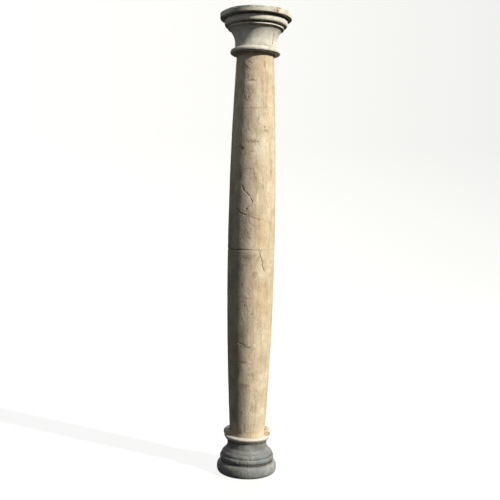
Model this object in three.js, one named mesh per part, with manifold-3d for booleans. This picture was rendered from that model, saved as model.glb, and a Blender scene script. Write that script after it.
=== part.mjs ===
// A free-standing column of weathered marble, in four stones that stand dry on each other: a turned base,
// two drums of a plain shaft with a long swelling, and a turned capital under a round abacus.
// Millimetres, +Z up. The origin is the centre of the underside. Turns round the column are in degrees:
// 0 faces -Y, 90 faces +X.

import * as THREE from 'three';
import { mergeVertices } from 'three/addons/utils/BufferGeometryUtils.js';
import Module from 'manifold-3d';

const wasm = await Module();
wasm.setup();

// How finely round forms are cut
const sidesRound = 56;
const arcChord = 10;
const fewestArcSteps = 2;
const mostArcSteps = 5;
const drumSteps = 6;
const biteSides = 10;
const biteRings = 6;

// Dry joint between two stones
const bedGap = 0.3;

// Shaft, with a ring round its foot
const shaftFootRadius = 110.8;
const shaftBellyRadius = 147.3;
const shaftTopRadius = 116.5;
const lowerDrumHeight = 1162;
const upperDrumHeight = 1198;
const lowerSwelling = 1.9;
const upperSwelling = 2;
const footRingBedRadius = 141;
const footRingUnderCurve = 6;
const footRingRadius = 149;
const footRingSide = 14;
const footRingShoulderRadius = 136;
const footRingTopCurve = 10;
const footRingHeight = footRingUnderCurve + footRingSide + footRingTopCurve;

// Base, from the ground up
const undersideRadius = 172;
const footRadius = 188;
const footUnderCurve = 30;
const footSide = 8;
const footTopCurve = 32;
const footShoulderRadius = 168;
const footFillet = 2;
const scotiaRadius = 162;
const scotiaHeight = 11;
const bandRadius = 170.5;
const bandUnderCurve = 15;
const bandTopCurve = 15;
const bandShoulderRadius = 164;
const incisionRadius = 160.5;
const incisionHeight = 7;
const bellShoulderRadius = 150;
const bellShoulderHeight = 16;
const bellSlopeRadius = 131;
const bellSlopeHeight = 22;
const baseNeckRadius = 124;
const baseNeckCurve = 22;
const baseNeckHeight = 10;
const collarFlareRadius = 130;
const collarFlareHeight = 13;
const collarSlopeRadius = 144;
const collarSlopeHeight = 20;
const collarRadius = 145.5;
const collarSide = 4;
const collarTopCurve = 10;
const collarBedRadius = 138;

// Capital, from its bed on the shaft up
const lipBedRadius = 146;
const lipRadius = 156;
const lipUnderCurve = 13;
const lipTopCurve = 19;
const lipShoulderRadius = 138;
const capitalNeckRadius = 128;
const capitalNeckCurve = 24;
const capitalNeckHeight = 12;
const bellTopRadius = 163;
const bellHeight = 82;
const bellBend = 1.9;
const beadRimRadius = 170;
const beadRadius = 176;
const beadUnderCurve = 6;
const beadTopCurve = 6;
const quirkHeight = 5;
const echinusFootRadius = 184;
const echinusFillet = 1;
const echinusRadius = 194.5;
const echinusCurve = 16;
const echinusSide = 14;
const echinusShoulderRadius = 187;
const echinusShoulderCurve = 9;
const recessHeight = 5;
const soffitRadius = 216;
const abacusUnderCurve = 5;
const abacusRadius = 222;
const abacusSide = 26;
const abacusTopCurve = 6;
const abacusBedRadius = 215;

// Losses: a stretched ball is taken out of an edge, by its width along the edge, its rise and its depth
const abacusWornEdge = { turn: -56, width: 170, rise: 14, depth: 11 };
const abacusChip = { turn: -34, width: 46, rise: 26, depth: 9 };
const abacusStainedChip = { turn: 37, width: 40, rise: 28, depth: 7 };
const abacusRearChip = { turn: 158, width: 64, rise: 24, depth: 12 };
const footChip = { turn: -128, width: 70, rise: 26, depth: 8 };
const footRingWornEdge = { turn: 88, width: 150, rise: 20, depth: 15 };
const jointChip = { turn: -38, width: 60, rise: 14, depth: 5 };
const jointRearChip = { turn: 171, width: 84, rise: 22, depth: 8 };

// The ring round the foot of the shaft is broken away across the front, down to a scar just proud of the shaft
const ringBreak = { from: -62, to: 68, proud: 4 };

// Outline of a turned stone, drawn upwards from the middle of its underside.
class Outline {
  constructor(radius) {
    this.points = [new THREE.Vector2(0, 0), new THREE.Vector2(radius, 0)];
  }

  get end() {
    return this.points.at(-1);
  }

  line(radius, rise = 0) {
    this.points.push(new THREE.Vector2(radius, this.end.y + rise));
    return this;
  }

  // A quarter of an ellipse. It leaves level and ends upright, as the lower half of a round moulding does.
  under(radius, rise) {
    return this.quarter(radius, rise, (turn) => [Math.sin(turn), 1 - Math.cos(turn)]);
  }

  // A quarter of an ellipse. It leaves upright and ends level, as the upper half of a round moulding does.
  over(radius, rise) {
    return this.quarter(radius, rise, (turn) => [1 - Math.cos(turn), Math.sin(turn)]);
  }

  // A hollow sweep. It leaves upright and flares by a power of the way up.
  flare(radius, rise, bend) {
    return this.curve(radius, rise, (share) => [share ** bend, share]);
  }

  quarter(radius, rise, shares) {
    return this.curve(radius, rise, (share) => shares((Math.PI / 2) * share));
  }

  // shares gives the way across and the way up, each from 0 to 1, for a share of the curve.
  curve(radius, rise, shares) {
    const start = this.end.clone();
    const wanted = Math.round(Math.hypot(radius - start.x, rise) / arcChord);
    const steps = Math.min(mostArcSteps, Math.max(fewestArcSteps, wanted));
    for (let step = 1; step <= steps; step += 1) {
      const [across, up] = shares(step / steps);
      this.points.push(new THREE.Vector2(start.x + (radius - start.x) * across, start.y + rise * up));
    }
    return this;
  }

  get height() {
    return this.end.y;
  }

  closed() {
    return [...this.points, new THREE.Vector2(0, this.height)];
  }
}

// A closed body with shared corners, without its flat leftovers on the axis, as a solid that can be cut.
function solidFrom(geometry) {
  geometry.deleteAttribute('normal');
  geometry.deleteAttribute('uv');
  const merged = mergeVertices(geometry);
  const corners = merged.index.array;
  const triangles = [];
  for (let first = 0; first < corners.length; first += 3) {
    const [a, b, c] = corners.slice(first, first + 3);
    if (a !== b && b !== c && c !== a) triangles.push(a, b, c);
  }
  return new wasm.Manifold(new wasm.Mesh({
    numProp: 3,
    vertProperties: new Float32Array(merged.attributes.position.array),
    triVerts: new Uint32Array(triangles),
  }));
}

function geometryFrom(solid) {
  const mesh = solid.getMesh();
  const geometry = new THREE.BufferGeometry();
  geometry.setAttribute('position', new THREE.BufferAttribute(mesh.vertProperties, mesh.numProp));
  geometry.setIndex(new THREE.BufferAttribute(mesh.triVerts, 1));
  geometry.computeVertexNormals();
  return geometry;
}

function turned(points) {
  return solidFrom(new THREE.LatheGeometry(points, sidesRound).rotateX(Math.PI / 2));
}

// What a blow took out of an edge at this radius and height.
function bite({ turn, width, rise, depth }, radius, height) {
  const ball = new THREE.SphereGeometry(1, biteSides, biteRings)
    .scale(depth, width / 2, rise / 2)
    .translate(radius, 0, height)
    .rotateZ(THREE.MathUtils.degToRad(turn - 90));
  return solidFrom(ball);
}

function baseOutline() {
  return new Outline(undersideRadius)
    .under(footRadius, footUnderCurve)
    .line(footRadius, footSide)
    .over(footShoulderRadius, footTopCurve)
    .line(scotiaRadius, footFillet)
    .line(scotiaRadius, scotiaHeight)
    .under(bandRadius, bandUnderCurve)
    .over(bandShoulderRadius, bandTopCurve)
    .line(incisionRadius)
    .line(incisionRadius, incisionHeight)
    .over(bellShoulderRadius, bellShoulderHeight)
    .line(bellSlopeRadius, bellSlopeHeight)
    .under(baseNeckRadius, baseNeckCurve)
    .line(baseNeckRadius, baseNeckHeight)
    .over(collarFlareRadius, collarFlareHeight)
    .line(collarSlopeRadius, collarSlopeHeight)
    .line(collarRadius, collarSide)
    .over(collarBedRadius, collarTopCurve);
}

function capitalOutline() {
  return new Outline(lipBedRadius)
    .under(lipRadius, lipUnderCurve)
    .over(lipShoulderRadius, lipTopCurve)
    .under(capitalNeckRadius, capitalNeckCurve)
    .line(capitalNeckRadius, capitalNeckHeight)
    .flare(bellTopRadius, bellHeight, bellBend)
    .line(beadRimRadius)
    .under(beadRadius, beadUnderCurve)
    .over(beadRimRadius, beadTopCurve)
    .line(beadRimRadius, quirkHeight)
    .line(echinusFootRadius, echinusFillet)
    .under(echinusRadius, echinusCurve)
    .line(echinusRadius, echinusSide)
    .over(echinusShoulderRadius, echinusShoulderCurve)
    .line(echinusShoulderRadius, recessHeight)
    .line(soffitRadius)
    .under(abacusRadius, abacusUnderCurve)
    .line(abacusRadius, abacusSide)
    .over(abacusBedRadius, abacusTopCurve);
}

// The shaft is widest at the joint between its drums. This is its radius at a share of the way from there to an end.
function shaftRadius(endRadius, swelling, share) {
  return shaftBellyRadius - (shaftBellyRadius - endRadius) * share ** swelling;
}

function lowerDrumOutline() {
  const height = lowerDrumHeight - bedGap;
  const outline = new Outline(footRingBedRadius)
    .under(footRingRadius, footRingUnderCurve)
    .line(footRingRadius, footRingSide)
    .over(footRingShoulderRadius, footRingTopCurve);
  const rise = (height - footRingHeight) / drumSteps;
  for (let step = 0; step <= drumSteps; step += 1) {
    const share = (1 - footRingHeight / height) * (1 - step / drumSteps);
    outline.line(shaftRadius(shaftFootRadius, lowerSwelling, share), step === 0 ? 0 : rise);
  }
  return outline;
}

function upperDrumOutline() {
  const rise = (upperDrumHeight - bedGap) / drumSteps;
  const outline = new Outline(shaftBellyRadius);
  for (let step = 1; step <= drumSteps; step += 1) {
    outline.line(shaftRadius(shaftTopRadius, upperSwelling, step / drumSteps), rise);
  }
  return outline;
}

// What is lost of the ring: a piece of a thick tube round the foot, between two turns.
function lostRing() {
  const inside = shaftFootRadius + ringBreak.proud;
  const outside = footRingRadius * 2 - inside;
  const low = -bedGap;
  const high = footRingHeight + bedGap;
  const section = [[inside, low], [outside, low], [outside, high], [inside, high], [inside, low]];
  const tube = turned(section.map(([radius, height]) => new THREE.Vector2(radius, height)));
  const wedge = new THREE.Shape([new THREE.Vector2(0, 0)]);
  for (const share of [0, 0.5, 1]) {
    const turn = THREE.MathUtils.degToRad(THREE.MathUtils.lerp(ringBreak.from, ringBreak.to, share) - 90);
    wedge.lineTo(footRingRadius * 2 * Math.cos(turn), footRingRadius * 2 * Math.sin(turn));
  }
  const sector = new THREE.ExtrudeGeometry(wedge, { depth: high - low, bevelEnabled: false }).translate(0, 0, low);
  return tube.intersect(solidFrom(sector));
}

const marble = {
  base: new THREE.MeshStandardMaterial({ color: '#a9a8a0', roughness: 0.8, metalness: 0 }),
  shaft: new THREE.MeshStandardMaterial({ color: '#c4b18c', roughness: 0.75, metalness: 0 }),
  capital: new THREE.MeshStandardMaterial({ color: '#d3cfc2', roughness: 0.75, metalness: 0 }),
};

function stone(name, solid, material, foot) {
  const mesh = new THREE.Mesh(geometryFrom(solid), material);
  mesh.name = name;
  mesh.position.z = foot;
  return mesh;
}

function makeBase(outline) {
  const footMiddle = footUnderCurve + footSide / 2;
  return turned(outline.closed()).subtract(bite(footChip, footRadius, footMiddle));
}

function makeCapital(outline) {
  const sideTop = outline.height - abacusTopCurve;
  return [abacusWornEdge, abacusChip, abacusStainedChip, abacusRearChip].reduce(
    (solid, loss) => solid.subtract(bite(loss, abacusRadius, sideTop + abacusTopCurve / 2)),
    turned(outline.closed()),
  );
}

const baseShape = baseOutline();
const capitalShape = capitalOutline();
const lowerDrumShape = lowerDrumOutline();
const upperDrumShape = upperDrumOutline();

const lowerDrumFoot = baseShape.height + bedGap;
const upperDrumFoot = lowerDrumFoot + lowerDrumShape.height + bedGap;
const capitalFoot = upperDrumFoot + upperDrumShape.height + bedGap;

const lowerDrumSolid = turned(lowerDrumShape.closed())
  .subtract(lostRing())
  .subtract(bite(footRingWornEdge, footRingRadius, footRingHeight))
  .subtract(bite(jointChip, shaftBellyRadius, lowerDrumShape.height));
const upperDrumSolid = turned(upperDrumShape.closed())
  .subtract(bite(jointRearChip, shaftBellyRadius, 0));

const column = new THREE.Group();
column.add(
  stone('base', makeBase(baseShape), marble.base, 0),
  stone('lower_drum', lowerDrumSolid, marble.shaft, lowerDrumFoot),
  stone('upper_drum', upperDrumSolid, marble.shaft, upperDrumFoot),
  stone('capital', makeCapital(capitalShape), marble.capital, capitalFoot),
);

export default column;
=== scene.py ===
"""A free-standing column of weathered marble: a turned base, two drums of a swelling shaft and a capital.

Each stone is a fine grid over its turned outline, worn, cracked and chipped, in the place of its solid.
Sizes are in metres and +Z is up. Turns round the column are in degrees: 0 faces -Y, 90 faces +X.
"""

import math
from collections import namedtuple

import bpy
import numpy as np
from mathutils import Euler, Matrix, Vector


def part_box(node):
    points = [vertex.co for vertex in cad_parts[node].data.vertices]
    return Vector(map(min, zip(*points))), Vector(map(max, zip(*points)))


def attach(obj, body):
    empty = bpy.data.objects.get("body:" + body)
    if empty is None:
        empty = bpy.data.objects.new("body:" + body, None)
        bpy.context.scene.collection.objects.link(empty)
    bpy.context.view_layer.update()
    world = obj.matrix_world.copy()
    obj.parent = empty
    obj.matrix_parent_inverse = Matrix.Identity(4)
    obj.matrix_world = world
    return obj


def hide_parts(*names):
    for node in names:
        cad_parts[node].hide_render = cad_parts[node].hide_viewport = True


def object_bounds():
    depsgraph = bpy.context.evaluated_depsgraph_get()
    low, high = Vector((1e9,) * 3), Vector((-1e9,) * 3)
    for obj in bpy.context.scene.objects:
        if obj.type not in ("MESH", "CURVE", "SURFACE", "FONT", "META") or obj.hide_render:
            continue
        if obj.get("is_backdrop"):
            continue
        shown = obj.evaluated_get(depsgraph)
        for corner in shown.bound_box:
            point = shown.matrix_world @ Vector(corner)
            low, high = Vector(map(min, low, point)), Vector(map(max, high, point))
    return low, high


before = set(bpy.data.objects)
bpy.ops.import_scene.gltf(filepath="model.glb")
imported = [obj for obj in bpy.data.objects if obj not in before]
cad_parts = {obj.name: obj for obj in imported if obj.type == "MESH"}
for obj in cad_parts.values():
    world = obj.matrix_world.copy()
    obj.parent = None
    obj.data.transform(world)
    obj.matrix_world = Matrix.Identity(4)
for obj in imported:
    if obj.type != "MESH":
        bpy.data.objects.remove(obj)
solid_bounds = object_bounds()

# Camera, as the photograph was taken. Its focal length is in pixels.
PICTURE_SIZE = 500
FOCAL_LENGTH = 755
SENSOR_WIDTH = 36
EYE = (-0.007, -4.709, 1.612)
PITCH_DOWN = 2.654
ROLL = 1.25

# What one pixel covers on the column
PIXEL = 0.0062

# Sight rays are followed between two planes, one before the column and one just past its axis
RAY_NEAR = -0.25
RAY_FAR = 0.02
RAY_STEPS = 1400

# How finely the stones are cut
FRONT_HALF_WIDTH = 100
DRUM_FRONT_COLUMNS = 180
DRUM_BACK_COLUMNS = 80
BASE_COLUMNS = 400
CAPITAL_COLUMNS = 400
ARC_STEPS = 14
DRUM_ROW = 0.0035
MOULDING_ROW = 0.0018
TOP_BED_ROW = 0.008
BED_ROWS = 3
INNERMOST_SHARE = 0.02
CLOSEST_SHARE = 0.6
OPEN_BED_WEAR = 0.5
UPRIGHT = 0.95
TINY = 1e-9

# How far along the outline an edge, a hollow and a narrow recess are felt
EDGE_REACH = 0.005
HOLLOW_REACH = 0.014
RECESS_REACH = 0.006

# Shaft, with a ring round its foot
SHAFT_FOOT_RADIUS = 0.1108
SHAFT_BELLY_RADIUS = 0.1473
SHAFT_TOP_RADIUS = 0.1165
LOWER_SWELLING = 1.9
UPPER_SWELLING = 2
FOOT_RING_BED_RADIUS = 0.141
FOOT_RING_UNDER_CURVE = 0.006
FOOT_RING_RADIUS = 0.149
FOOT_RING_SIDE = 0.014
FOOT_RING_SHOULDER_RADIUS = 0.136
FOOT_RING_TOP_CURVE = 0.010
FOOT_RING_HEIGHT = FOOT_RING_UNDER_CURVE + FOOT_RING_SIDE + FOOT_RING_TOP_CURVE

# Base, from the ground up
UNDERSIDE_RADIUS = 0.172
FOOT_RADIUS = 0.188
FOOT_UNDER_CURVE = 0.030
FOOT_SIDE = 0.008
FOOT_TOP_CURVE = 0.032
FOOT_SHOULDER_RADIUS = 0.168
FOOT_FILLET = 0.002
SCOTIA_RADIUS = 0.162
SCOTIA_HEIGHT = 0.011
BAND_RADIUS = 0.1705
BAND_UNDER_CURVE = 0.015
BAND_TOP_CURVE = 0.015
BAND_SHOULDER_RADIUS = 0.164
INCISION_RADIUS = 0.1605
INCISION_HEIGHT = 0.007
BELL_SHOULDER_RADIUS = 0.150
BELL_SHOULDER_HEIGHT = 0.016
BELL_SLOPE_RADIUS = 0.131
BELL_SLOPE_HEIGHT = 0.022
BASE_NECK_RADIUS = 0.124
BASE_NECK_CURVE = 0.022
BASE_NECK_HEIGHT = 0.010
COLLAR_FLARE_RADIUS = 0.130
COLLAR_FLARE_HEIGHT = 0.013
COLLAR_SLOPE_RADIUS = 0.144
COLLAR_SLOPE_HEIGHT = 0.020
COLLAR_RADIUS = 0.1455
COLLAR_SIDE = 0.004
COLLAR_TOP_CURVE = 0.010
COLLAR_BED_RADIUS = 0.138

# Capital, from its bed on the shaft up
LIP_BED_RADIUS = 0.146
LIP_RADIUS = 0.156
LIP_UNDER_CURVE = 0.013
LIP_TOP_CURVE = 0.019
LIP_SHOULDER_RADIUS = 0.138
CAPITAL_NECK_RADIUS = 0.128
CAPITAL_NECK_CURVE = 0.024
CAPITAL_NECK_HEIGHT = 0.012
BELL_TOP_RADIUS = 0.163
BELL_HEIGHT = 0.082
BELL_BEND = 1.9
BEAD_RIM_RADIUS = 0.170
BEAD_RADIUS = 0.176
BEAD_UNDER_CURVE = 0.006
BEAD_TOP_CURVE = 0.006
QUIRK_HEIGHT = 0.005
ECHINUS_FOOT_RADIUS = 0.184
ECHINUS_FILLET = 0.001
ECHINUS_RADIUS = 0.1945
ECHINUS_CURVE = 0.016
ECHINUS_SIDE = 0.014
ECHINUS_SHOULDER_RADIUS = 0.187
ECHINUS_SHOULDER_CURVE = 0.009
RECESS_HEIGHT = 0.005
SOFFIT_RADIUS = 0.216
ABACUS_UNDER_CURVE = 0.005
ABACUS_RADIUS = 0.222
ABACUS_SIDE = 0.026
ABACUS_TOP_CURVE = 0.006
ABACUS_BED_RADIUS = 0.215


def each(kind, *rows):
    """The rows of a table, as named values of one kind."""
    return [kind(*row) for row in rows]


# Losses at the edges, by turn, width along the edge, rise and depth, as on the solids, with a seed
Loss = namedtuple("Loss", "turn width rise depth seed")
ABACUS_LOSSES = each(
    Loss,
    (-56, 0.170, 0.014, 0.011, 407),
    (-34, 0.046, 0.020, 0.005, 408),
    (37, 0.040, 0.028, 0.007, 409),
    (158, 0.064, 0.024, 0.012, 410),
)
FOOT_CHIP = Loss(-128, 0.070, 0.026, 0.008, 107)
FOOT_RING_WORN_EDGE = Loss(88, 0.150, 0.020, 0.015, 207)
JOINT_CHIP = Loss(-38, 0.060, 0.014, 0.005, 209)
JOINT_REAR_CHIP = Loss(171, 0.084, 0.022, 0.008, 307)
BITE_RAGGED = 0.25
BITE_ROUGHNESS = 0.0008
BITE_LUMP = 0.012
BITE_SKIN_LUMP = 0.005

# The edge of each drum is fretted this far from their joint, everywhere a little and more on the left
JOINT_EDGE = 0.0055
JOINT_FRET_LEAST = 0.0002
JOINT_FRET_LEFT = 0.0026
JOINT_FRET_PATCHES = 0.0008
JOINT_GRIME = 0.8

# The ring round the foot of the shaft is broken away between two turns, down to a rough scar
RING_BREAK_FROM = -62
RING_BREAK_TO = 68
RING_END_SLOPE = 7
RING_END_RAGGED = 4
RING_END_ROUGHNESS = 0.004
SCAR_PROUD = 0.001

# Cracks, by the pixels at which the photograph shows them. Widths and depths are in metres.
Crack = namedtuple("Crack", "width depth points")
CRACKS = each(
    Crack,
    (0.003, 0.0032, [(242.3, 186), (242.5, 188), (243.5, 190), (246, 192.5), (248.5, 195), (250, 197),
     (252, 201), (252.3, 202.5)]),
    (0.002, 0.0012, [(252.3, 202.5), (250, 205), (247, 208), (246.3, 209.5)]),
    (0.0026, 0.0022, [(236, 208.5), (238, 210), (240, 213), (243, 214), (246, 215.5)]),
    (0.002, 0.0014, [(248, 215), (252, 217.5), (257, 219), (261, 220)]),
    (0.0012, 0.0005, [(261, 220), (268, 222), (272, 222)]),
    (0.002, 0.0014, [(248, 215), (248.5, 220), (249, 223)]),
    (0.0016, 0.001, [(242, 218), (241, 222)]),
    (0.0014, 0.0008, [(243, 223.5), (247, 223.5)]),
    (0.0026, 0.002, [(260, 251), (259.7, 253), (260.3, 255), (260.5, 257), (262, 260), (262.5, 263),
     (262.3, 266), (264.5, 271)]),
    (0.0016, 0.001, [(260.3, 255), (258, 258), (256.5, 262)]),
    (0.0014, 0.0008, [(254, 254), (254.2, 260), (254.5, 267)]),
    (0.002, 0.0014, [(243.5, 424), (243.6, 428), (243.5, 432)]),
    (0.0018, 0.0012, [(246, 138.5), (249, 139.5), (251, 141), (252, 143), (251.5, 146), (252, 148)]),
    (0.0018, 0.0012, [(252, 141.5), (258, 141.5), (258.5, 144), (260, 147)]),
    (0.0016, 0.001, [(246, 168.5), (253, 168.5), (254, 172), (254.5, 177), (256, 178.5), (256, 183)]),
    (0.002, 0.0014, [(246.5, 236), (248, 237.5), (250, 239.5)]),
    (0.0018, 0.0008, [(241, 234), (242, 237), (242.5, 240), (244, 244)]),
    (0.0016, 0.0008, [(244, 86), (243.4, 90), (243.8, 94), (245, 98)]),
    (0.0016, 0.0009, [(246, 85.5), (247.5, 88), (247.2, 90)]),
    (0.0016, 0.0009, [(246.5, 92), (248, 94.5), (247.8, 97)]),
    (0.0016, 0.0009, [(246.5, 59.5), (249, 62), (252, 63)]),
    (0.0016, 0.0009, [(250, 58.5), (252.5, 60), (254, 62.5)]),
    (0.0016, 0.0008, [(246.5, 73), (248, 76), (247.5, 78.5)]),
    (0.0016, 0.0006, [(248, 81.5), (252, 80), (256, 80.5)]),
    (0.0014, 0.0007, [(236.5, 108.6), (243, 109), (250, 107.8), (258, 108.2), (266, 107.4), (272, 108)]),
    (0.0018, 0.0011, [(259, 117.5), (257.2, 119.5), (256.6, 122), (257.8, 124), (260.5, 124.3)]),
    (0.002, 0.0013, [(264.6, 126.5), (264.4, 128.8), (265.6, 130.6), (267, 131.4)]),
    (0.0014, 0.0008, [(265, 61.5), (264.3, 64), (265, 66.5)]),
    (0.0018, 0.001, [(245.5, 64), (245, 67), (246, 70)]),
    (0.0016, 0.0008, [(270.5, 222), (270.2, 228), (269.6, 235), (270.2, 240)]),
    (0.0016, 0.0008, [(273, 166), (273.6, 174), (273.2, 184)]),
    (0.0016, 0.001, [(243, 296), (244.5, 301), (244, 306)]),
    (0.0022, 0.0014, [(236, 342), (241, 344), (245, 347), (249, 348)]),
    (0.0018, 0.001, [(238, 362), (243, 363.5), (246, 363)]),
    (0.002, 0.0013, [(247, 462.5), (247.3, 466), (246.8, 471), (247.2, 476), (247, 479)]),
    (0.002, 0.0016, [(277.5, 6), (278.5, 8), (277.6, 10.5), (279, 12.5)]),
    (0.0014, 0.0008, [(273.5, 34), (272.8, 38), (273.2, 41)]),
)
DARK_CRACK_DEPTH = 0.0026

# Cracks cut only walls that stand at least this upright. Their mark fades out this many widths away.
CRACKED_WALL = 0.2
CRACK_FADE = (2.2, 3.6)
CRACK_MARK_MOST = 9

# Places ruffled by short strokes that fall to the right, this much down for one across
Ruffle = namedtuple("Ruffle", "left top right bottom strokes fall")
RUFFLES = each(
    Ruffle,
    (244, 58, 251, 78, 14, 1.2), (243, 84, 250, 104, 11, 1.4), (241, 226, 250, 247, 16, 1.6),
    (242, 286, 249, 320, 16, 2.5), (248, 262, 260, 288, 14, 6.0), (248, 215, 258, 226, 8, 6.0),
    (260, 150, 273, 186, 12, 5.0), (242, 116, 252, 140, 10, 1.8), (242, 404, 252, 430, 8, 4.0),
)
RUFFLE_SEED = 17
RUFFLE_FALLS = (1.2, 3.6)
RUFFLE_WIDTHS = (0.0012, 0.0019)
RUFFLE_DEPTHS = (0.0004, 0.0009)

# Fine cracks on the sides and the back, which no pixel shows. The widths and the rises are in metres.
HAIRLINE_SEED = 11
HAIRLINES_PER_DRUM = 40
HAIRLINE_TURNS = (70, 300)
HAIRLINE_STEPS = (4, 9)
HAIRLINE_RISES = (0.004, 0.016)
HAIRLINE_WANDER = 0.028
HAIRLINE_WIDTHS = (0.0012, 0.0022)
HAIRLINE_DEPTHS = (0.0006, 0.0016)

# Pits, spalls and stains, by the pixel at their middle, their width and height in pixels, and an amount
Spot = namedtuple("Spot", "across down wide high amount")

# Pits, with their depth in metres
PITS = each(
    Spot,
    (242, 148.3, 3.6, 1.6, 0.0022), (239.5, 146, 1.8, 1.4, 0.0016), (251.5, 151.5, 1.6, 1.4, 0.003),
    (246.5, 209, 1.6, 1.5, 0.003), (240, 176.5, 1.6, 2.0, 0.0026), (246, 258.5, 1.4, 1.4, 0.003),
    (248.6, 258.5, 1.2, 1.2, 0.0024), (243.5, 257.5, 1.0, 1.0, 0.0012), (241.5, 285, 1.4, 2.6, 0.0038),
    (246.5, 298.5, 1.2, 1.4, 0.002), (244.5, 306, 1.2, 2.2, 0.0024), (251.5, 314, 1.1, 1.9, 0.0024),
    (247.5, 318, 1.1, 1.2, 0.0018), (265, 127, 1.2, 1.4, 0.0022), (264.5, 130.5, 1.2, 1.4, 0.0022),
    (254.5, 205, 1.1, 1.0, 0.0014), (244.5, 98, 1.2, 1.1, 0.0016), (247, 99, 1.1, 1.1, 0.0016),
    (248.5, 97, 1.2, 1.2, 0.002), (247, 67, 1.6, 1.4, 0.0026), (261.5, 80, 1.0, 1.0, 0.0018),
    (284.5, 8.5, 1.6, 1.4, 0.003), (277.5, 11, 2.2, 1.6, 0.003), (239.5, 463.3, 1.8, 1.4, 0.004),
    (261.3, 465, 1.8, 1.4, 0.004), (239.5, 459.5, 3.0, 1.2, 0.0025), (230, 441, 1.4, 1.4, 0.0025),
    (272.6, 43.4, 1.3, 1.6, 0.0022), (241, 413, 1.6, 1.4, 0.0022),
)

# Shallow places from which the skin of the stone has come off, with their depth in metres
SPALLS = each(
    Spot,
    (259, 121, 6, 8, 0.0005), (252, 81, 8, 3, 0.0016), (245.5, 259, 8, 6, 0.0006), (249, 173, 9, 9, 0.0008),
    (246, 143, 8, 6, 0.0008), (252, 229, 9, 8, 0.0008), (246, 90, 4, 9, 0.0005), (245, 312, 6, 16, 0.001),
    (250, 262, 14, 5, 0.0008),
)

# Stains, with their strength
MOSS = each(
    Spot,
    (243, 345.5, 8, 6, 0.8), (249, 347.5, 5, 3, 0.7), (243, 362.5, 8, 3, 0.7), (240, 387, 5, 7, 0.6),
    (239, 431.5, 6, 4, 0.5), (226, 18, 9, 8, 0.9), (259, 447, 12, 5, 0.6), (232, 468, 14, 9, 0.35),
    (238, 51.5, 30, 5, 0.5), (262, 52, 30, 4, 0.4), (247, 69, 5, 12, 0.35), (244, 92, 5, 16, 0.3),
    (244, 334, 9, 18, 0.6), (239, 369, 7, 10, 0.7), (243, 386, 10, 5, 0.6), (254, 408, 8, 8, 0.25),
    (252, 375, 10, 5, 0.4), (236, 398, 6, 26, 0.4), (246, 8, 18, 7, 0.5), (262, 7, 14, 6, 0.3),
    (270, 9, 12, 6, 0.35), (233, 13, 16, 8, 0.5), (256, 5.5, 30, 2.5, 0.7), (274, 6.5, 14, 2.5, 0.5),
    (286, 12, 8, 12, 0.4), (272, 48, 12, 4, 0.35),
)
BROWN = each(
    Spot,
    (264.8, 64, 3, 6, 0.9), (268, 91, 3, 5, 0.4), (251, 63, 3, 4, 0.5), (255, 275, 5, 6, 0.6),
    (255.5, 284, 3, 5, 0.5), (266, 285, 4, 6, 0.5), (278, 9, 5, 8, 0.9), (284.5, 8.5, 3, 3, 0.9),
    (280.5, 8, 3, 5, 0.9), (276, 11, 5, 3, 0.8), (273, 39, 3, 13, 0.8), (246.8, 209, 3, 3, 0.9),
    (233, 186, 6, 16, 0.5), (253, 141, 16, 5, 0.5), (271.5, 168, 4, 24, 0.5), (255, 178, 4, 12, 0.4),
    (247, 213, 12, 8, 0.4), (248, 235, 9, 12, 0.25), (246, 258, 8, 8, 0.2), (242, 146, 5, 9, 0.6),
    (244, 305, 5, 20, 0.4), (235, 355, 9, 60, 0.5), (248, 443, 36, 4, 0.7), (229, 442, 8, 6, 0.5),
    (248, 108, 34, 2, 0.35),
)
WARM = each(
    Spot,
    (262, 235, 10, 34, 0.7), (253, 228, 4, 14, 0.5), (256, 246, 12, 6, 0.5), (252, 72, 8, 12, 0.5),
    (268, 96, 7, 60, 0.25), (258, 222, 9, 10, 0.5), (262, 300, 14, 40, 0.5), (249, 276, 9, 30, 0.4),
    (262, 70, 12, 30, 0.4),
)
# Whitish stains; the upright strips on the shade side at the left paint light thrown back into the shade
PALE_AND_LIGHT_SPOTS = each(
    Spot,
    (257.8, 197, 2.8, 7, 1.0), (252, 136, 8, 16, 0.5), (236, 76, 4, 34, 0.5), (235, 128, 5, 44, 0.6),
    (234, 166, 4, 30, 0.5), (250, 236, 8, 24, 0.5), (246, 272, 8, 14, 0.5), (259, 100, 7, 40, 0.4),
    (244, 206, 5, 18, 0.4), (254, 345, 3, 2, 0.7), (250, 362, 2.5, 2, 0.7), (249, 366, 2.5, 2, 0.6),
    (243, 366, 2.5, 2, 0.6), (238, 380, 2.5, 2, 0.6), (257, 322, 3, 2, 0.6), (262, 150, 14, 26, 0.6),
    (250, 190, 9, 22, 0.35), (252, 83, 7, 4, 0.6), (262, 120, 8, 12, 0.5), (262, 411, 6, 8, 0.5),
    (246, 290, 5, 24, 0.4), (246, 180, 6, 20, 0.4), (251, 66, 6, 16, 0.4),
)
# Painted shade with black crusting: on the left end of the foot ring and in the line where the shaft meets
# the collar
CRUST_AND_SHADE_SPOTS = each(
    Spot,
    (226.5, 428.5, 10, 8, 0.8), (234, 433.2, 9, 1.2, 0.6), (239.5, 433.6, 6, 1.2, 0.5),
)
BLUISH = each(
    Spot,
    (235, 276, 9, 14, 0.5), (237, 95, 4, 16, 0.35), (238, 8, 12, 8, 0.8), (242, 5.5, 16, 3, 0.8),
    (262, 461, 24, 10, 0.5), (262, 472, 28, 9, 0.4),
)
STAIN_REACH = 0.6

# Painted shade: a grey darkening lies on the side turned from the sun, ever darker from this height down to
# that one
PAINTED_SHADE_TOP = 2.45
PAINTED_SHADE_FOOT = 1.50
SHADE_TURN = 20
PAINTED_SHADE_SHARE = 0.8

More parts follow.
